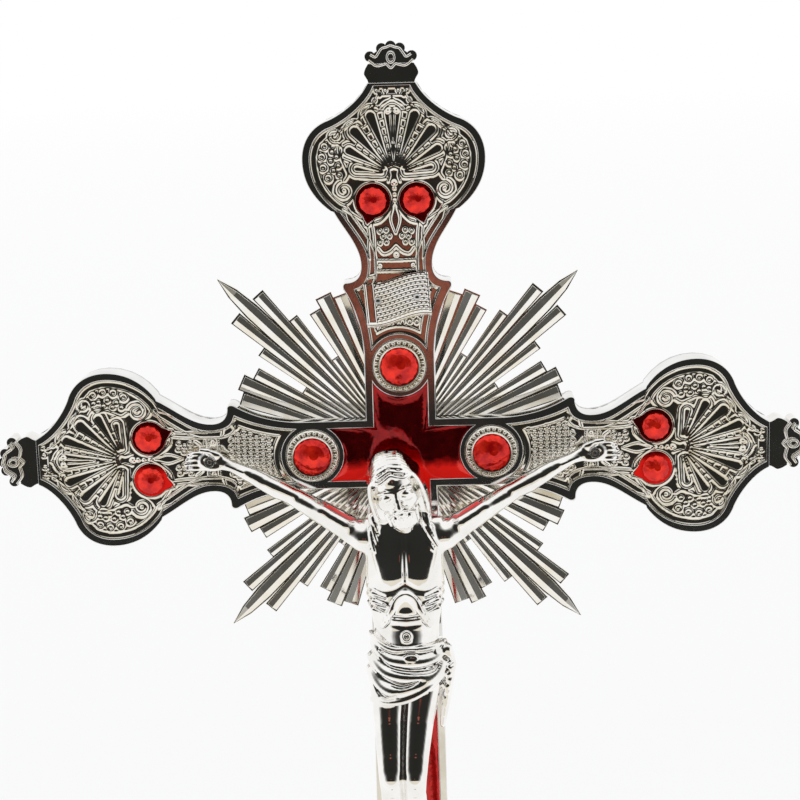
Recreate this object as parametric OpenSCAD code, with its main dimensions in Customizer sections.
// Processional cross: the cast cross head with its figure, its knop and its staff socket.
// Millimetres, +Z up. The origin is the centre of the socket's mouth and the figure faces -Y.

/* [Arm outline] */
// Half width of an arm where it leaves the crossing
root_half = 14.5; // [13.8:0.1:15.5]
// Distance from the crossing at which the root block starts to widen
flare_at = 43; // [40:0.5:46]
// Distance from the crossing to the hooked ear of the root block
ear_at = 71.3; // [69:0.1:73]
// Half width across the ears
ear_half = 22.2; // [20:0.1:24]
// Radius of the ear's nose
nose_r = 1.6; // [1.2:0.1:2]
// Distance from the crossing to the narrow neck
neck_at = 79; // [77.5:0.5:81]
// Half width at the neck
neck_half = 14.7; // [13:0.1:16]
// Distance from the crossing to the cusp where the bud begins
cusp_at = 102; // [99:0.5:105]
// Half width at the cusp
cusp_half = 25.4; // [24:0.1:27]
// Distance from the crossing to the widest place of the bud
lobe_at = 122.8; // [119:0.1:126]
// Half width of the bud
lobe_half = 37.4; // [35:0.1:40]
// Distance from the crossing to the shoulder where the bud turns into its point
shoulder_at = 138.6; // [136:0.1:141]
// Half width at that shoulder
shoulder_half = 27.6; // [25:0.1:30]
// Distance from the crossing to the flat end of the frame
tip_at = 153.4; // [150:0.1:158]
// Half width of the flat end
tip_half = 9.9; // [9:0.1:11]
// Extra length of the lower arm, its stem
stem_extra = 145; // [135:1:160]
// Half width of the stem just above its root block
stem_half = 15.6; // [14.6:0.1:16.5]
// Width of the polished rim round the sunk fields
rim_w = 3.2; // [2.6:0.1:3.6]

/* [Depths] */
// Front of the rim, measured from the middle plane
front_depth = 6.5; // [6:0.1:7.5]
// Rear of the cast frame, measured from the middle plane
rear_depth = 4.5; // [4:0.1:5.5]
// Depth of the sunk fields below the rim
rim_h = 2; // [1.6:0.1:2.4]
// Thickness of the frame's floor
floor_t = 2.5; // [2:0.1:3]
// Thickness of the back plate
back_t = 2; // [1.5:0.1:3]
// Thickness of the round hub cover on the back
hub_t = 3; // [2:0.1:4]
// Radius of the hub cover
hub_r = 30; // [28.5:0.5:32]
// Thickness of the enamel
enamel_t = 1.5; // [1:0.1:1.8]
// Thickness of the relief panels under their ornament
panel_t = 1; // [0.8:0.1:1.4]

/* [Stones] */
// Distance from the crossing to a large stone
gem_at = 37.5; // [36.5:0.1:38.5]
// Radius of a large stone
gem_r = 8; // [7:0.1:8.5]
// Outer radius of a large stone's bezel
bezel_r = 11; // [10.4:0.1:11.4]
// Height of that bezel
bezel_h = 4.5; // [4:0.1:5.5]
// Width of the polished ring of the frame round a bezel
ring_w = 2.2; // [1.8:0.1:2.4]
// Distance from the crossing to a pair of small stones
stone_at = 106; // [104:0.5:108]
// Sideways distance of a small stone from the arm's middle line
stone_side = 9; // [8.5:0.1:9.6]
// Radius of a small stone
stone_r = 5.9; // [5:0.1:6.1]
// Wall of a small stone's collet
collet_w = 1.2; // [1:0.1:1.5]

/* [Sunburst] */
// Reach of the longest ray from the crossing
ray_reach = 105.5; // [98:0.5:110]
// Rise of a ray's roof for each millimetre of its half width
ray_slope = 0.45; // [0.35:0.05:0.6]
// Front of a ray's edges, measured from the middle plane
ray_edge = 0.6; // [0:0.1:1.2]
// Height of the step from a ray's edges to its roof
ray_step = 0.7; // [0.4:0.1:1]
// Back of the rays, measured from the middle plane
ray_back = 1.5; // [1:0.1:2]

/* [Figure] */
// Height of the shoulders below the crossing
shoulder_drop = 32.5; // [31.5:0.5:34]
// Height of the hips below the crossing
hip_drop = 94; // [92:0.5:96]
// Height of the foot nail below the crossing
foot_drop = 190; // [186:0.5:194]
// Front of the nailed palms, measured from the rim
palm_face = 6.7; // [6.6:0.1:7]
// Front of the nailed feet, measured from the rim
foot_face = 14.7; // [14.4:0.1:15]
// Radius of a nail
nail_r = 1.4; // [1.1:0.1:1.6]
// Radius of the stud that carries the figure
stud_r = 2.5; // [2:0.1:3]

/* [Scroll] */
// Distance from the crossing to the scroll on the top arm
scroll_at = 65.5; // [63:0.5:67]
// Length of the scroll
scroll_w = 27; // [24:0.5:29]
// Height of the scroll
scroll_h = 18; // [16:0.5:19]
// Thickness of the scroll
scroll_t = 1.6; // [1.2:0.1:2]
// Tilt of the scroll
scroll_tilt = 4; // [0:0.5:8]

/* [Finials] */
// Height of a finial above the arm's flat end
finial_h = 16.6; // [15:0.1:20]
// Half width of a finial's cup
cup_half = 11; // [10:0.1:12]
// Depth of a finial's cup, front to back
cup_depth = 11; // [9:0.5:13]
// Radius of a finial's spigot
spigot_r = 2; // [1.6:0.1:2.4]
// Length of that spigot
spigot_l = 10; // [8:0.5:12]

/* [Knop and socket] */
// Radius of the bore that takes the staff
bore_r = 12.7; // [11:0.1:14]
// Depth of that bore
bore_l = 70; // [60:1:90]
// Wall of the socket
socket_wall = 3.8; // [3:0.1:5]
// Radius of the knop
knop_r = 23; // [21:0.5:27]
// Height of the knop
knop_h = 36; // [30:1:44]
// Height of the ring under the knop
knop_ring_h = 6; // [5:0.5:8]
// Height of the collar under the cross
collar_h = 10; // [8:0.5:14]
// Radius of the tie rod
rod_r = 3.5; // [3:0.1:3.8]
// Length of the tie rod's grip in the frame
rod_bite = 13; // [10:0.5:14]
// Height of the clamping screw above the socket's mouth
clamp_z = 32; // [26:1:44]
// Radius of the clamping screw
clamp_r = 3; // [2.5:0.1:3.4]
// Travel of the clamping screw
clamp_travel = 4; // [3:0.5:5]
// Radius of the pad on the clamping screw
pad_r = 4.5; // [4:0.1:5]
// Thickness of that pad
pad_t = 2.5; // [2.2:0.1:3]

/* [Fasteners and fits] */
// Radius of the small screws
screw_r = 1.45; // [1.2:0.05:1.6]
// Grip of the small screws
screw_bite = 5; // [4:0.5:5.5]
// Radius of the bosses for the small screws
boss_r = 3.5; // [3:0.1:4]
// Radial clearance of pins, spigots and screws
fit = 0.05; // [0.02:0.01:0.1]
// Radial clearance of loose holes
loose = 0.2; // [0.1:0.05:0.3]
// Gap round the inlaid pieces
inlay_gap = 0.15; // [0.1:0.05:0.3]
// Gap between the rays and the arms
ray_gap = 0.3; // [0.2:0.05:0.5]

/* [Hidden] */
$fn = 48;

silver = "gainsboro";
bright = "whitesmoke";
ruby = "crimson";
steel = "darkgray";

right = 0;
top = 90;
left = 180;
bottom = 270;

y_rim = -front_depth;
y_floor = y_rim + rim_h;
y_inner = y_floor + floor_t;
y_back = rear_depth + back_t;
y_hub = y_back + hub_t;

nut_h = 5;
nut_r = rod_r * 1.9;
pocket_h = nut_h + 2;
pocket_r = nut_r + 2;
socket_top = 5;
socket_r = bore_r + socket_wall;
socket_h = bore_l + pocket_h + socket_top;
z_knop = socket_h + knop_ring_h;
z_collar = z_knop + knop_h;
z_frame = z_collar + collar_h;
cross_z = z_frame + tip_at + stem_extra;
lower_tip = tip_at + stem_extra;

cavity_end = shoulder_at - 2.6;
inlay_half = root_half - rim_w;
inlay_end = foot_drop + 7;
bottom_field = inlay_end + 4;
seat_r = bezel_r + 0.1;
ring_r = seat_r + ring_w;
gem_ledge = 1.2;
collet_h = panel_t + 1.6;
hand_at = neck_at + 1;
nail_head_r = nail_r * 1.45;
stud_drop = shoulder_drop + 12;
stud_shoulder = stud_r + 1.5;
screw_head_r = screw_r * 1.9;
screw_head_h = 1.4;
function hub_spot(angle) = hub_r * 0.85 * [cos(angle), sin(angle)];
arm_spot = cusp_at - 2 * boss_r;
nail_clear = 10;
stem_drops = [stud_drop + nail_clear, (stud_drop + foot_drop) / 2, foot_drop - 2 * nail_clear,
              arm_spot + stem_extra];
back_spots = concat([[arm_spot, 0], [0, arm_spot], [-arm_spot, 0]], [for (d = stem_drops) [0, -d]]);
plate_spots = concat(back_spots, [[0, 0]]);
hub_spots = [for (a = [45:90:315]) hub_spot(a)];
rivet_r = 1;
rivet_reach = scroll_w * 0.3;
rivet_spots = [for (s = [-1, 1]) [0, scroll_at] + s * rivet_reach * [cos(scroll_tilt), sin(scroll_tilt)]];
pad_face = bore_r + 0.6;
pad_rear = pad_face + pad_t;
boss_end = socket_r + 9.5;
clamp_boss_r = pad_r + 2.5;

// Point inside the box from p to q, at the given fractions of its two sides
function inside(p, q, f) = [p[0] + (q[0] - p[0]) * f[0], p[1] + (q[1] - p[1]) * f[1]];

function cubic(p, a, b, q, t) =
    p * pow(1 - t, 3) + a * 3 * t * pow(1 - t, 2) + b * 3 * t * t * (1 - t) + q * pow(t, 3);

// Curve from p to q whose two handles lie at fractions f and g of their box
function curve(p, q, f, g, n = 5) = [for (i = [1:n]) cubic(p, inside(p, q, f), inside(p, q, g), q, i / n)];

// One long edge of an arm, from its root block to its flat end, moved inwards by inset
function arm_edge(inset, shift, half) =
    let (
        hook = max(0, 1 - inset / rim_w),
        flare = [flare_at + shift, half - inset],
        ear = [ear_at - nose_r + shift, ear_half - 1.4 * inset],
        nose = ear + hook * nose_r * [1.8, -1],
        neck = [neck_at + 0.3 * inset + shift, neck_half - inset],
        cusp = [cusp_at - 0.15 * inset + shift, cusp_half - 1.05 * inset],
        step = cusp + [0.4, 1.2],
        lobe = [lobe_at + shift, lobe_half - inset],
        shoulder = [shoulder_at - inset + shift, shoulder_half - 0.25 * inset],
        tip = [tip_at - inset + shift, tip_half - 0.85 * inset]
    )
    concat(
        [flare],
        curve(flare, ear, [0.41, 0.07], [0.74, 0.45]),
        hook > 0 ? curve(ear, nose, [0.55, -0.44], [1.07, 0], 4) : [],
        curve(nose, neck, [0.05, 0.7], [0.43, 0.98], 5),
        curve(neck, cusp, [0.35, -0.02], [0.61, 0.54]),
        [step],
        curve(step, lobe, [0.25, 0.64], [0.59, 1]),
        curve(lobe, shoulder, [0.49, 0], [0.84, 0.4], 5),
        curve(shoulder, tip, [0.11, 0.29], [0.53, 0.83])
    );

// An edge run backwards on the other side of the X axis, and of the Y axis
function mirrored(edge) = [for (i = [len(edge) - 1:-1:0]) [edge[i][0], -edge[i][1]]];
function flipped(edge) = [for (i = [len(edge) - 1:-1:0]) [-edge[i][0], edge[i][1]]];

// Flat outline of an arm along +X, from a start distance to its end
module arm2d(inset, shift = 0, start = 0, half = root_half) {
    edge = arm_edge(inset, shift, half);
    polygon(concat([[start, root_half - inset]], edge, mirrored(edge), [[start, inset - root_half]]));
}

module stem2d(inset, start = 0) {
    arm2d(inset, stem_extra, start, stem_half);
}

module cross2d(inset) {
    for (a = [right, top, left]) rotate(a) arm2d(inset);
    rotate(bottom) stem2d(inset);
}

module at_gems() {
    for (a = [right, top, left]) rotate(a) translate([gem_at, 0]) children();
}

// The enamelled cross, whose three short ends are hollowed round the stones
module enamel2d(gap) {
    half = inlay_half - gap;
    low_half = stem_half - rim_w - gap;
    right_edge = [[half, gem_at], [half, half], [gem_at, half], [gem_at, -half], [half, -half],
                  [low_half, gap - inlay_end]];
    difference() {
        polygon(concat(right_edge, flipped(right_edge)));
        at_gems() circle(ring_r + gap);
    }
}

// The sunk field of an upper arm, and of the stem
module field2d(gap) {
    difference() {
        arm2d(rim_w + gap, 0, gem_at);
        translate([gem_at, 0]) circle(ring_r + gap);
    }
}

module stem_field2d(gap) {
    intersection() {
        stem2d(rim_w + gap, bottom_field - flare_at);
        translate([bottom_field + gap, -lobe_half]) square([lower_tip, 2 * lobe_half]);
    }
}

module front_recess2d() {
    for (a = [right, top, left]) rotate(a) field2d(0);
    rotate(bottom) stem_field2d(0);
    enamel2d(0);
    at_gems() circle(seat_r);
}

module rear_cavity2d() {
    for (a = [right, top, left]) rotate(a) intersection() {
        arm2d(rim_w);
        translate([0, -lobe_half]) square([cavity_end, 2 * lobe_half]);
    }
    rotate(bottom) intersection() {
        stem2d(rim_w);
        translate([0, -lobe_half]) square([cavity_end + stem_extra, 2 * lobe_half]);
    }
}

// Plate of a flat shape drawn in X and Z about the crossing, between two depths
module plate(y0, y1) {
    translate([0, y1, cross_z]) rotate([90, 0, 0]) linear_extrude(y1 - y0) children();
}

// Round bar along Y at a place [x, z] about the crossing, between two depths
module bar(spot, r, y0, y1) {
    translate([spot[0], y1, cross_z + spot[1]]) rotate([90, 0, 0]) cylinder(r = r, h = y1 - y0);
}

// Places a piece that is drawn on the XY plane, rising along Z, on the floor of an arm
module on_arm(angle) {
    translate([0, y_floor, cross_z]) rotate([90, 0, 0]) rotate(angle) children();
}

// Turns a piece drawn upright along Z out along an arm, with its foot at the arm's flat end
module at_tip(angle) {
    translate([0, 0, cross_z]) rotate([0, 90 - angle, 0]) translate([0, 0, tip_at]) children();
}

function unit(v) = v / norm(v);

function heading(path, i) = unit(path[min(i + 1, len(path) - 1)][0] - path[max(i - 1, 0)][0]);

// Ring of points round a path's station [centre, half width, half depth], square to the path
function ring(path, i, sides, ripple, folds, facing) =
    let (
        t = heading(path, i),
        u = unit(cross(facing, t)),
        v = cross(t, u)
    )
    [for (k = [0:sides - 1])
        let (a = 360 * k / sides, swell = 1 + ripple * cos(folds * a))
        path[i][0] + swell * (u * path[i][1] * cos(a) + v * path[i][2] * sin(a))];

// Closed skin over rings of points that all have the same count
module skin(rings) {
    rows = len(rings);
    sides = len(rings[0]);
    walls = [for (i = [0:rows - 2], k = [0:sides - 1])
        let (a = i * sides + k, b = i * sides + (k + 1) % sides)
        each [[a, a + sides, b + sides], [a, b + sides, b]]];
    start_cap = [for (k = [0:sides - 1]) k];
    end_cap = [for (k = [sides - 1:-1:0]) (rows - 1) * sides + k];
    polyhedron([for (r = rings) each r], concat(walls, [start_cap, end_cap]), convexity = 6);
}

// Solid lofted through the stations of a path, with an optional fold pattern round it
module loft(path, sides = 10, ripple = 0, folds = 1, facing = [0, -1, 0]) {
    skin([for (i = [0:len(path) - 1]) ring(path, i, sides, ripple, folds, facing)]);
}

module cross_frame() color(silver) difference() {
    union() {
        difference() {
            plate(y_rim, rear_depth) cross2d(0);
            plate(y_rim - 1, y_floor) front_recess2d();
            plate(y_inner, rear_depth + 1) rear_cavity2d();
        }
        for (spot = plate_spots) bar(spot, boss_r, y_inner - 1, rear_depth);
    }
    for (spot = plate_spots) bar(spot, screw_r + fit, rear_depth - screw_bite - 0.5, rear_depth + 1);
    for (s = [-1, 1]) bar([s * hand_at, 0], nail_r + loose, y_floor - 1, y_inner + 1);
    bar([0, -foot_drop], nail_r + loose, y_floor - 1, y_inner + 1);
    bar([0, -stud_drop], stud_r + loose, y_floor - 1, y_inner + 1);
    for (spot = rivet_spots) bar(spot, rivet_r + fit, y_floor - 1, y_inner + 1);
    for (a = [right, top, left]) at_tip(a) translate([0, 0, -spigot_l - 0.5])
        cylinder(r = spigot_r + fit, h = spigot_l + 1);
    translate([0, 0, z_frame - 1]) cylinder(r = rod_r + fit, h = rod_bite + 1.5);
}

module back_plate() color(silver) difference() {
    plate(rear_depth, y_back) cross2d(0);
    for (spot = plate_spots) bar(spot, screw_r + loose, rear_depth - 1, y_back + 1);
}

// Round cover with a raised border and a low boss, behind the crossing
module rear_hub() color(bright) difference() {
    translate([0, y_back, cross_z]) rotate([-90, 0, 0]) rotate_extrude($fn = 96)
        polygon(concat([[0, 0], [hub_r, 0], [hub_r, hub_t * 0.55]],
                       curve([hub_r, hub_t * 0.55], [hub_r - hub_t, hub_t], [0, 0.6], [0.4, 1]),
                       [[hub_r * 0.42, hub_t], [hub_r * 0.38, hub_t * 1.25]],
                       curve([hub_r * 0.38, hub_t * 1.25], [0, hub_t * 1.9], [0.3, 0.6], [0.6, 1])));
    for (spot = concat(hub_spots, [[0, 0]])) bar(spot, screw_r + loose, y_back - 1, y_hub + hub_t);
}

// Rays of one half quadrant: their edges as angles from the diagonal, and their shares of the longest reach
ray_bounds = [2.6, 6.2, 9.4, 13, 17.3, 22.8, 28];
ray_shares = [1, 0.848, 0.687, 0.46, 0.659, 0.697, 0.673];

// Ends of a ray as shares of its reach and of its radial width: cut square, or a lance's curved point
square_end = [[1, 1]];
lance_end = [[0.7, 1], [0.82, 0.86], [0.92, 0.54], [1, 0.02]];

// Every ray of a cluster: its angle from the diagonal, half its spread, its reach and its end
rays = [
    for (i = [0:len(ray_bounds) - 1], s = i == 0 ? [1] : [-1, 1])
        let (inner = i == 0 ? -ray_bounds[0] : ray_bounds[i - 1])
            [s * (inner + ray_bounds[i]) / 2, (ray_bounds[i] - inner) / 2 + 0.05, ray_reach * ray_shares[i],
             i == 0 ? lance_end : square_end]
];

// Half outline of a ray as distances along it and half widths
function ray_edges(ray) = [
    for (row = concat([[root_half / ray[2], 1]], ray[3])) ray[2] * row[0] * [1, tan(ray[1]) * row[1]]
];

// Flat strip of a ray, its sides running from the crossing
module ray2d(ray) {
    edges = ray_edges(ray);
    rotate(ray[0]) polygon(concat(edges, mirrored(edges)));
}

// Roof of two slopes, stepped up along the middle of a ray and ending just short of it
module ray_roof(ray) {
    rotate([0, -ray[0], 0]) hull() skin([
        for (edge = 0.99 * ray_edges(ray))
        let (half = edge[1] * 0.8, eaves = ray_edge + min(half, ray_step)) [
            [half, 0.3 - ray_edge, edge[0]], [half, -eaves, edge[0]], [0, -eaves - half * ray_slope, edge[0]],
            [-half, -eaves, edge[0]], [-half, 0.3 - ray_edge, edge[0]]
        ]
    ]);
}

module ray_cluster(diagonal) color(bright) difference() {
    union() {
        plate(-ray_edge, ray_back) rotate(diagonal) for (ray = rays) ray2d(ray);
        translate([0, 0, cross_z]) rotate([0, 90 - diagonal, 0]) for (ray = rays) ray_roof(ray);
        plate(ray_back - 1, y_back) rotate(diagonal - 45) intersection() {
            circle(hub_r - 1.5);
            square(hub_r);
        }
    }
    plate(y_rim - 1, y_back + 1) cross2d(-ray_gap);
    bar(hub_spot(diagonal), screw_r + loose, y_back - screw_bite, y_back + 1, $fn = 16);
}

module ray_cluster_upper_right() ray_cluster(45);
module ray_cluster_upper_left() ray_cluster(135);
module ray_cluster_lower_left() ray_cluster(225);
module ray_cluster_lower_right() ray_cluster(315);

module enamel_inlay() color(ruby) difference() {
    plate(y_floor - enamel_t, y_floor) enamel2d(inlay_gap);
    bar([0, -stud_drop], stud_shoulder + loose, y_rim - 1, y_floor + 1);
    bar([0, -foot_drop], nail_r + loose, y_rim - 1, y_floor + 1);
}

// Rounded moulding on a panel, flat underneath, along stations [x, y, half width, height]
moulding_sink = 0.3;

module moulding(path) {
    function way(i) = unit([for (k = [0, 1]) path[min(i + 1, len(path) - 1)][k] - path[max(i - 1, 0)][k]]);
    skin([for (i = [0:len(path) - 1])
        let (t = way(i), p = path[i], foot = [p[0], p[1], panel_t - moulding_sink], side = [-t[1], t[0], 0])
        [for (a = [0:60:180]) foot + p[2] * cos(a) * side + [0, 0, p[3] * sin(a) / sin(60)]]]);
}

// Shell of an arm's bud: lobes [angle, length] fanned from one point
shell_at = cusp_at + 12;
shell_lobes = [[0, 31], [18, 31], [38, 27], [54, 23.5], [70, 17.5]];
lobe_half_w = 2.4;
lobe_rise = 2.6;

module shell_lobe(angle, length) {
    rotate(angle) hull() moulding([
        [5, 0, 0.5, 0.7], [length - 3, 0, lobe_half_w, lobe_rise],
        [length - 0.9, 0, lobe_half_w * 0.7, lobe_rise * 0.75], [length, 0, 0.4, 0.6]
    ]);
}

module shell() {
    translate([shell_at, 0, 0]) {
        for (lobe = shell_lobes, s = lobe[0] == 0 ? [1] : [-1, 1]) shell_lobe(s * lobe[0], lobe[1]);
        moulding([[-2, 0, 1.2, 1.2], [0, 0, 2.8, 2.9], [2.5, 0, 2.8, 2.9], [4.5, 0, 1.2, 1.2]]);
    }
}

// Spiral of a scroll whose stroke tapers from its tail to its eye
volute_turns = 1.35;
volute_wide = 6.4;
volute_eye = 1.9;
volute_stroke = 1.5;

function volute(t) =
    let (r = volute_wide + (volute_eye - volute_wide) * t, a = 200 - 360 * volute_turns * t)
    [r * cos(a), r * sin(a), volute_stroke * (1 - 0.45 * t), volute_stroke * (1 - 0.3 * t)];

module scroll_volute() {
    rows = 9;
    moulding([for (i = [0:rows]) volute(i / rows)]);
    translate([0, 0, panel_t - moulding_sink]) cylinder(r1 = 1.6, r2 = 0.9, h = 1.7, $fn = 6);
}

// Leaf rail along one side of the neck, from the ear to the cusp
module neck_rail() {
    inset = rim_w + 2;
    start = [neck_at - 3, neck_half - inset];
    end = [cusp_at, cusp_half - inset - 1.5];
    rail = curve(start, end, [0.4, 0.05], [0.7, 0.6]);
    moulding([for (p = rail) [p[0], p[1], 1, 1.4]]);
}

// Ornament that every arm end carries: shell, volutes, neck rails, leaf and the two collets
module bud_relief() {
    shell();
    for (s = [0, 1]) mirror([0, s, 0]) {
        translate([lobe_at - 6.5, lobe_half * 0.67, 0]) scroll_volute();
        neck_rail();
        translate([stone_at, stone_side, 0])
            cylinder(r = stone_r + fit * 2 + collet_w, h = collet_h, $fn = 18);
    }
    translate([stone_at, 0, 0])
        moulding([[-13, 0, 0.4, 0.5], [-5, 0, 2, 1.6], [2, 0, 1.2, 1.4], [5, 0, 0.5, 0.6]]);
}

// Panel of an arm: its flat field, given as the second child, carries the ornament, given as the first
module relief_panel(shift = 0) {
    difference() {
        union() {
            linear_extrude(panel_t) children(1);
            intersection() {
                children(0);
                linear_extrude(front_depth * 2) children(1);
            }
        }
        for (s = [-1, 1]) translate([stone_at + shift, s * stone_side, panel_t])
            cylinder(r = stone_r + fit * 2, h = front_depth * 2, $fn = 18);
    }
}

module side_panel(angle) color(silver) on_arm(angle) difference() {
    relief_panel() {
        bud_relief();
        field2d(inlay_gap);
    }
    translate([hand_at, 0, -1]) cylinder(r = nail_r + loose, h = front_depth * 2, $fn = 16);
}

module arm_panel_right() side_panel(right);
module arm_panel_left() side_panel(left);

// The top panel also carries the raised seat of the scroll
module arm_panel_top() color(silver) on_arm(top) difference() {
    relief_panel() {
        union() {
            bud_relief();
            translate([scroll_at, 0, rim_h / 2]) rotate(scroll_tilt)
                cube([scroll_h * 0.7, scroll_w * 0.8, rim_h], center = true);
        }
        field2d(inlay_gap);
    }
    for (spot = rivet_spots) translate([spot[1], -spot[0], -1])
        cylinder(r = rivet_r + fit, h = front_depth * 2, $fn = 16);
}

module arm_panel_bottom() color(silver) on_arm(bottom) relief_panel(stem_extra) {
    translate([stem_extra, 0, 0]) bud_relief();
    stem_field2d(inlay_gap);
}

// Stepped bezel with a rounded lip, on a seat in the frame
module gem_bezel(angle) color(silver) on_arm(angle) translate([gem_at, 0, 0]) rotate_extrude($fn = 72) {
    bead = [bezel_r, bezel_h * 0.42];
    waist = [bezel_r - 1, bezel_h * 0.62];
    lip = [gem_r + 0.9, bezel_h];
    polygon(concat(
        [[gem_r - 1.6, 0], [bezel_r, 0], bead],
        curve(bead, waist, [0, 0.6], [0.5, 1], 4),
        curve(waist, lip, [0, 0.7], [0.4, 1]),
        [[gem_r + fit, bezel_h], [gem_r + fit, gem_ledge], [gem_r - 1.6, gem_ledge]]
    ));
}

module gem_bezel_right() gem_bezel(right);
module gem_bezel_top() gem_bezel(top);
module gem_bezel_left() gem_bezel(left);

// Round stone with a cut crown, standing on its flat back
module cut_stone(r, rise, crown) {
    hull() {
        cylinder(r1 = r * 0.72, r2 = r * 0.73, h = 0.1, $fn = 8);
        translate([0, 0, rise]) cylinder(r = r, h = 0.5, $fn = 16);
        translate([0, 0, rise + crown]) rotate(11.25) cylinder(r = r * 0.55, h = 0.02, $fn = 8);
    }
}

module gem(angle) color(ruby) on_arm(angle) translate([gem_at, 0, gem_ledge])
    cut_stone(gem_r, bezel_h * 0.5, gem_r * 0.42);

module gem_right() gem(right);
module gem_top() gem(top);
module gem_left() gem(left);

module stone_pair(angle, shift = 0) color(ruby) on_arm(angle)
    for (s = [-1, 1]) translate([stone_at + shift, s * stone_side, panel_t])
        cut_stone(stone_r, collet_h * 0.5, stone_r * 0.4);

module stones_right() stone_pair(right);
module stones_top() stone_pair(top);
module stones_left() stone_pair(left);
module stones_bottom() stone_pair(bottom, stem_extra);

// Parchment-like scroll with a waved outline and two rolled corners
module titulus_scroll() color(bright) difference() {
    translate([0, y_rim, cross_z + scroll_at]) rotate([90, 0, 0]) rotate(scroll_tilt) {
        w = scroll_w / 2;
        h = scroll_h / 2;
        linear_extrude(scroll_t) polygon(concat(
            [[-w, h - 1.5]],
            curve([-w, h - 1.5], [w, h + 1], [0.35, -0.9], [0.65, 1.9], 10),
            [[w, 1 - h]],
            curve([w, 1 - h], [-w, -h - 1.5], [0.35, -0.9], [0.65, 1.9], 10)
        ));
        for (s = [-1, 1]) translate([s * (w - 0.6), s * 0.5, scroll_t])
            rotate([90, 0, 0]) cylinder(r = scroll_t * 0.8, h = scroll_h - 3, center = true);
    }
    for (spot = rivet_spots) bar(spot, rivet_r + fit, y_rim - 9, y_floor);
}

module titulus_rivets() color(steel) for (spot = rivet_spots) {
    face = y_rim - scroll_t;
    bar(spot, rivet_r, face, y_inner);
    difference() {
        translate([spot[0], face + rivet_r * 1.2, cross_z + spot[1]]) sphere(r = rivet_r * 2);
        bar(spot, rivet_r * 3, face, y_inner + 3);
    }
}

// Arm of the figure: stations along the way from shoulder to hand as shares of that way
module figure_arm(s) {
    reach = hand_at - 15.5;
    function along(f, y, drop, wide, deep) =
        [[s * (15.5 + reach * f), y, -shoulder_drop * drop], wide, deep];
    loft([
        along(-0.1, -11, 1.06, 6.2, 6), along(0.02, -10.5, 1, 6.4, 6.4), along(0.14, -9.5, 0.86, 5.4, 5.5),
        along(0.3, -8.5, 0.67, 4.8, 4.8), along(0.48, -7, 0.46, 3.8, 3.7), along(0.58, -6.6, 0.36, 4.2, 4),
        along(0.72, -6, 0.2, 3.5, 3.4), along(0.86, -5.4, 0.07, 2.5, 2.5), along(0.93, -4.9, 0.02, 3.3, 2.1),
        along(1, -4.6, 0, 4.3, 1.8), along(1.06, -4.4, 0, 4.1, 1.6)
    ], 10);
    for (k = [-1.5:1:1.5]) hull() {
        translate([s * (hand_at + 3.4), -4.4, k * 2]) sphere(r = 1.25, $fn = 6);
        translate([s * (hand_at + 10.2 - abs(k + 0.5) * 0.7), -6, k * 1.9]) sphere(r = 0.95, $fn = 6);
    }
    hull() {
        translate([s * (hand_at - 3), -5.4, 2.8]) sphere(r = 1.4, $fn = 6);
        translate([s * (hand_at + 3), -7.2, 5]) sphere(r = 1, $fn = 6);
    }
}

// Leg of the figure down to its toes, with the front foot laid over the other
module figure_leg(s) {
    over = s > 0 ? 4.6 : 0;
    leg = foot_drop - hip_drop;
    function down(sway, x, y, share, wide, deep) = [[sway + s * x, y, -hip_drop - leg * share], wide, deep];
    loft([
        down(-0.6, 7.4, -10, 0, 8.2, 9), down(-2.2, 6.2, -13, 0.1875, 6.6, 7.8),
        down(-2.9, 5.4, -16.5, 0.333, 5.8, 7), down(-3.2, 5, -19, 0.44, 5.2, 6.4),
        down(-3.1, 4.9, -17.6, 0.51, 4.7, 5.6), down(-2.6, 5, -14.5, 0.635, 4.9, 5.6),
        down(-1.6, 4.4, -11.5, 0.792, 4, 4.4), [[s * 3 - 0.6, -8.6 - over * 0.6, 6 - foot_drop], 3.4, 3.8],
        [[s * 1.6, -6.5 - over, -foot_drop], 4, 2.9], [[s * 0.8, -5.2 - over, -foot_drop - 7], 4.4, 2.1],
        [[s * 0.4, -5 - over, -foot_drop - 14], 3.6, 1.5]
    ], 10);
}

// Round line of one thickness through points
module cord(points, r) {
    loft([for (point = points) [point, r, r]], 6);
}

module figure_trunk() {
    loft([
        [[-2, -15, -19], 4.8, 4.8], [[0, -12.5, 2.5 - shoulder_drop], 6.5, 6],
        [[0, -11.5, -1 - shoulder_drop], 14, 7], [[0, -11.6, -40], 16.2, 8.8], [[0, -11.8, -49], 16.4, 9.4],
        [[0, -11.8, -54], 16, 9.4], [[0, -11.6, -63], 14.8, 9], [[0, -10.8, -73], 13.6, 8],
        [[0, -10.5, -80], 13.8, 8], [[0, -10.5, -92], 15.2, 8.8]
    ], 14);
    for (s = [-1, 1]) {
        hull() for (spot = [[3, -19.8, -47.5], [3, -19.8, -36], [12, -17.4, -46], [11.6, -17, -36]])
            translate([s * spot[0], spot[1], spot[2]]) sphere(r = 2.2, $fn = 8);
        cord([[s * 0.4, -20.6, -55.6], [s * 4.4, -20.4, -59.6], [s * 9.6, -18, -69]], 1.4);
    }
}

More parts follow.
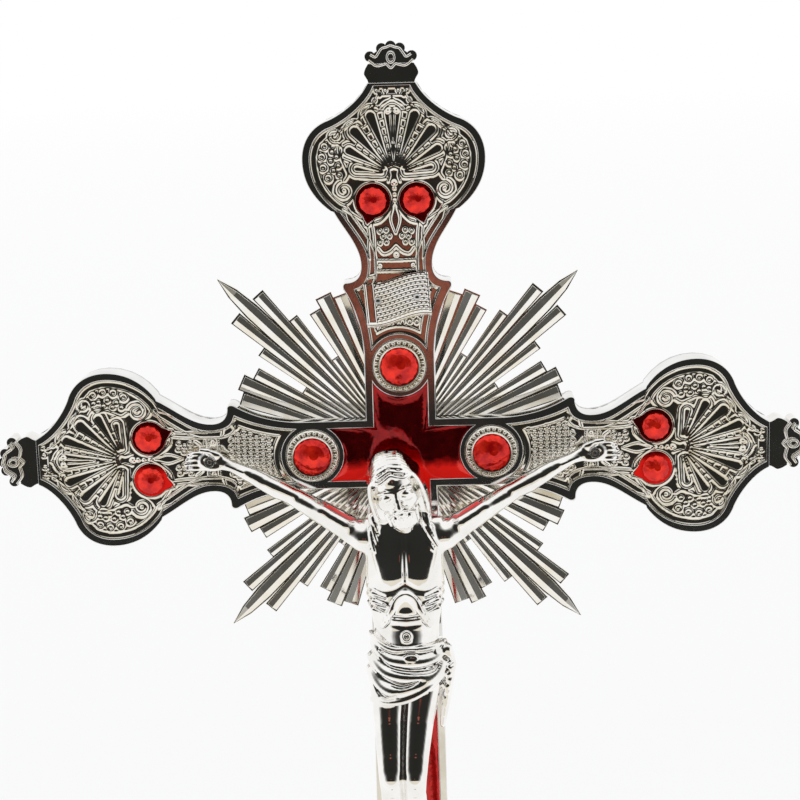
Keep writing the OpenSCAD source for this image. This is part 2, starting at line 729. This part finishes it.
// Folds of the cloth, swept from one hip to the knot on the other
cloth_folds = [
    [[-15, -12.6, -75], [-9, -18.4, -78], [0, -20, -79.4], [9, -18.8, -78.6], [17, -14, -76]],
    [[-15.6, -12.6, -79], [-8, -19.6, -85], [2, -21, -85.4], [14, -17.4, -80.8]],
    [[-16.2, -12.4, -84], [-8, -20.2, -91], [3, -21.4, -91], [14.4, -17.8, -83]],
    [[-16.4, -12, -90], [-9, -19.8, -97], [2, -21, -96.6], [15, -17.8, -85.6]],
    [[-16.2, -12, -96], [-10, -19.2, -101.6], [-2, -20.6, -101], [9, -19.8, -96.6], [16.4, -15.4, -88]]
];

// Cloth knotted on one hip, and its hanging end
module figure_cloth() {
    loft([
        [[0, -10.7, -76], 14.6, 8.8], [[0.2, -10.9, -80], 15.4, 9.4], [[0.2, -11, -88], 16.2, 10.2],
        [[0, -11.4, -96], 16.2, 10.6], [[-0.6, -11.6, -101.5], 15.2, 10.2]
    ], 16);
    for (fold = cloth_folds) cord(fold, 1.5);
    translate([15, -17.8, -80.4]) sphere(r = 2.7, $fn = 8);
    loft([
        [[18.8, -12.8, -75], 3.2, 2.6], [[20, -12.8, -88], 3.4, 2.8],
        [[18.2, -12.8, -102], 3.2, 2.6], [[15.8, -12.6, -114], 2.6, 2]
    ], 12, 0.1, 4);
}

// Size of the head against the height of its stations
head_size = 1.12;

// Head bowed to one side, with long hair and a short beard
module figure_head() {
    translate([-3, -19.5, -9]) rotate([18, -14, 0]) scale(head_size) {
        loft([
            [[0, -2, -12.5], 3.4, 4], [[0, -1.6, -10], 5.6, 6.2], [[0, -1, -5], 7.4, 8],
            [[0, 0, 1], 8.2, 9.2], [[0, 0.4, 6], 8, 9.2], [[0, 0.8, 10], 6, 7.4], [[0, 1, 12.4], 2.6, 3.4]
        ], 12);
        loft([
            [[0, 4, -13], 8.6, 5], [[0, 3.4, -6], 10, 7], [[0, 3, 0], 10.4, 8], [[0, 2.8, 6], 9.8, 8.8],
            [[0, 2.2, 11], 7.4, 7.6], [[0, 1.6, 14], 3.4, 3.8]
        ], 14);
        hull() {
            translate([0, -8.6, 2]) sphere(r = 0.8, $fn = 6);
            translate([0, -10, -3.2]) sphere(r = 1.5, $fn = 8);
        }
        loft([
            [[0, -6.5, -7], 4.8, 3.2], [[0, -6.6, -12], 4.4, 3.6], [[0, -6.4, -16], 2.4, 2.2]
        ], 10, 0.06, 5);
    }
    for (s = [-1, 1]) {
        loft([
            [[s * 10.6 - 1.8, -18.8, s * 2.6 - 13.5], 2.4, 3.4], [[s * 10.4 - 1.5, -17, -22], 2.6, 3.4],
            [[s * 11.2 - 0.6, -16.8, -29], 2.6, 2.8], [[s * 12.2, -17.4, -35.5], 1.5, 1.7]
        ], 8, 0.08, 4);
    }
}

// Cast figure, flat where its back faces the cross, with the stud on its back
figure_gap = 0.4;

module corpus() color(bright) difference() {
    union() {
        difference() {
            translate([0, y_rim, cross_z]) {
                figure_trunk();
                figure_head();
                for (s = [-1, 1]) {
                    figure_arm(s);
                    figure_leg(s);
                }
                figure_cloth();
            }
            plate(y_rim - figure_gap, y_back) square(2 * lower_tip, center = true);
        }
        bar([0, -stud_drop], stud_shoulder, y_rim - 8, y_floor, $fn = 20);
        bar([0, -stud_drop], stud_r, y_rim - 8, y_inner + 5, $fn = 20);
    }
    for (s = [-1, 1]) bar([s * hand_at, 0], nail_r + loose, y_rim - 20, y_floor, $fn = 16);
    bar([0, -foot_drop], nail_r + loose, y_rim - 30, y_floor, $fn = 16);
}

// Nail with a round head and a dished face, its shank running through the floor
module nail(spot, seat) {
    bar(spot, nail_r, seat, y_inner + 4);
    difference() {
        bar(spot, nail_head_r, seat - 1.2, seat);
        bar(spot, nail_head_r * 0.45, seat - 2, seat - 0.6);
    }
}

module hand_nails() color(steel) for (s = [-1, 1]) nail([s * hand_at, 0], y_rim - palm_face);

module foot_nail() color(steel) nail([0, -foot_drop], y_rim - foot_face);

module hex_nut(spot, r, bore, y0, y1) {
    difference() {
        translate([spot[0], y1, cross_z + spot[1]]) rotate([90, 0, 0]) cylinder(r = r, h = y1 - y0, $fn = 6);
        bar(spot, bore + fit, y0 - 1, y1 + 1);
    }
}

module corpus_nuts() color(steel) {
    for (spot = [[-hand_at, 0], [hand_at, 0], [0, -foot_drop]])
        hex_nut(spot, nail_r * 2, nail_r, y_inner, y_inner + 2.5);
    hex_nut([0, -stud_drop], stud_r * 1.9, stud_r, y_inner, y_inner + 3.5);
}

// Flat-faced cup drawn along +Y from its foot
module cup2d(rise) {
    edge = concat(
        [[tip_half - 0.6, 0]],
        curve([tip_half - 0.6, 0], [cup_half, rise * 0.5], [0.2, 0.5], [1, 0.7], 5),
        curve([cup_half, rise * 0.5], [tip_half - 0.7, rise], [0.1, 0.4], [0.7, 0.8], 4)
    );
    polygon(concat(edge, flipped(edge)));
}

// Blossom of three upright petals between two lower ones, on a foot as wide as the cup's lip
module blossom2d(rise) {
    petal = finial_h * 0.13;
    side = cup_half - petal * 1.1;
    low = rise + petal * 1.3;
    polygon([[-side, rise - 1], [side, rise - 1], [side, low], [petal * 1.4, finial_h - petal],
             [-petal * 1.4, finial_h - petal], [-side, low]]);
    for (k = [-1, 0, 1]) translate([k * petal * 1.7, finial_h - petal * (1 + 0.4 * abs(k))]) circle(petal);
    for (s = [-1, 1]) translate([s * (side - petal * 0.1), low]) circle(petal);
}

// Finial: cup, blossom with a ring boss on both faces, and the spigot that holds it
module finial(angle) color(silver) at_tip(angle) {
    rise = finial_h * 0.46;
    heart_at = finial_h * 0.66;
    translate([0, cup_depth / 2, 0]) rotate([90, 0, 0]) linear_extrude(cup_depth) cup2d(rise);
    translate([0, cup_depth * 0.42, 0]) rotate([90, 0, 0]) linear_extrude(cup_depth * 0.84) blossom2d(rise);
    translate([0, cup_depth / 2, heart_at]) rotate([90, 0, 0]) cylinder(r = finial_h * 0.1, h = cup_depth);
    translate([0, 0, -spigot_l]) cylinder(r = spigot_r, h = spigot_l + 1);
}

module finial_right() finial(right);
module finial_top() finial(top);
module finial_left() finial(left);

// Turned collar that the flat foot of the cross stands on
module base_collar() color(silver) translate([0, 0, z_collar]) difference() {
    seat = norm([tip_half, y_back]) + 1;
    rotate_extrude($fn = 72) polygon(concat(
        [[0, 0], [seat + 2.4, 0]],
        curve([seat + 2.4, 0], [seat - 2, collar_h * 0.55], [0.1, 0.6], [1, 0.5]),
        curve([seat - 2, collar_h * 0.55], [seat, collar_h], [-0.4, 0.7], [1, 0.6]),
        [[0, collar_h]]
    ));
    translate([0, 0, -1]) cylinder(r = rod_r + loose, h = collar_h + 2);
}

// Turned knop with a beaded belt between two swelling halves
module knop() color(silver) translate([0, 0, z_knop]) difference() {
    foot = knop_r * 0.56;
    belt = 2.6;
    low = [knop_r - 1, knop_h / 2 - belt];
    high = [knop_r - 1, knop_h / 2 + belt];
    rotate_extrude($fn = 96) polygon(concat(
        [[0, 0], [foot, 0]],
        curve([foot, 0], low, [0.9, 0.1], [1, 0.5], 8),
        [[knop_r, knop_h / 2 - belt * 0.7], [knop_r, knop_h / 2 + belt * 0.7], high],
        curve(high, [foot, knop_h], [0, 0.5], [0.1, 0.9], 8),
        [[0, knop_h]]
    ));
    translate([0, 0, -1]) cylinder(r = rod_r + loose, h = knop_h + 2);
}

module knop_ring() color(silver) translate([0, 0, socket_h]) difference() {
    rotate_extrude($fn = 72) polygon(concat(
        [[0, 0], [socket_r - 1, 0]],
        curve([socket_r - 1, 0], [socket_r - 1, knop_ring_h], [1, 0.25], [1, 0.75]),
        [[0, knop_ring_h]]
    ));
    translate([0, 0, -1]) cylinder(r = rod_r + loose, h = knop_ring_h + 2);
}

// Socket for the staff, with a ring at its mouth and the boss of the clamping screw behind
module staff_socket() color(silver) difference() {
    union() {
        rotate_extrude($fn = 96) polygon([
            [0, 0], [socket_r + 2, 0], [socket_r + 2, 6], [socket_r, 8], [socket_r, socket_h - 8],
            [socket_r + 1.5, socket_h - 6], [socket_r + 1.5, socket_h - 2], [socket_r, socket_h],
            [0, socket_h]
        ]);
        translate([0, 0, clamp_z]) rotate([-90, 0, 0]) cylinder(r = clamp_boss_r, h = boss_end);
    }
    translate([0, 0, -1]) cylinder(r = bore_r, h = bore_l + 1, $fn = 96);
    translate([0, 0, bore_l - 1]) cylinder(r = pocket_r, h = pocket_h + 1);
    cylinder(r = rod_r + loose, h = socket_h + 1);
    translate([0, 0, clamp_z]) rotate([-90, 0, 0]) cylinder(r = pad_r + fit, h = pad_rear + 0.4);
    translate([0, 0, clamp_z]) rotate([-90, 0, 0]) cylinder(r = clamp_r + fit, h = boss_end + 1);
}

rod_foot = bore_l + pocket_h - nut_h - 1;

module tie_rod() color(steel) translate([0, 0, rod_foot])
    cylinder(r = rod_r, h = z_frame + rod_bite - rod_foot);

module tie_nut() color(steel) translate([0, 0, bore_l + pocket_h - nut_h]) difference() {
    cylinder(r = nut_r, h = nut_h, $fn = 6);
    translate([0, 0, -1]) cylinder(r = rod_r + fit, h = nut_h + 2);
}

// Clamping screw: tip, shank and a lobed head that a thumb and finger turn
clamp_tip_r = clamp_r * 0.6;
clamp_tip_l = 1.2;
head_lobes = 10;
head_r = 8;
head_h = 6.5;

module thumb_screw() color(steel) translate([0, pad_rear, clamp_z]) rotate([-90, 0, 0]) {
    head_at = boss_end + clamp_travel + 0.6 - pad_rear;
    translate([0, 0, fit - clamp_tip_l]) cylinder(r = clamp_tip_r, h = clamp_tip_l + 1);
    translate([0, 0, fit]) cylinder(r = clamp_r, h = head_at + 1);
    translate([0, 0, head_at]) difference() {
        cylinder(r = head_r, h = head_h);
        for (k = [0:head_lobes - 1]) rotate(360 * k / head_lobes) translate([head_r + 0.9, 0, -1])
            cylinder(r = 2, h = head_h + 2);
    }
}

module screw_pad() color("goldenrod") difference() {
    translate([0, pad_face, clamp_z]) rotate([-90, 0, 0]) cylinder(r = pad_r, h = pad_t);
    translate([0, pad_rear - clamp_tip_l, clamp_z]) rotate([-90, 0, 0])
        cylinder(r = clamp_tip_r + fit, h = clamp_tip_l + 1);
}

// Small screw whose round head seats on a rear face
module small_screw(spot, seat, bite) {
    bar(spot, screw_r, seat - bite, seat);
    bar(spot, screw_head_r, seat, seat + screw_head_h);
}

module back_screws() color(steel) for (spot = back_spots) small_screw(spot, y_back, back_t + screw_bite - 1);

module hub_screws() color(steel) {
    for (spot = hub_spots) small_screw(spot, y_hub, hub_t + screw_bite - 1);
    small_screw([0, 0], y_back + hub_t * 1.9, hub_t * 1.9 + back_t + screw_bite - 1);
}

cross_frame();
back_plate();
rear_hub();
ray_cluster_upper_right();
ray_cluster_upper_left();
ray_cluster_lower_left();
ray_cluster_lower_right();
enamel_inlay();
arm_panel_right();
arm_panel_top();
arm_panel_left();
arm_panel_bottom();
gem_bezel_right();
gem_bezel_top();
gem_bezel_left();
gem_right();
gem_top();
gem_left();
stones_right();
stones_top();
stones_left();
stones_bottom();
titulus_scroll();
titulus_rivets();
corpus();
hand_nails();
foot_nail();
corpus_nuts();
finial_right();
finial_top();
finial_left();
base_collar();
knop();
knop_ring();
staff_socket();
tie_rod();
tie_nut();
thumb_screw();
screw_pad();
back_screws();
hub_screws();
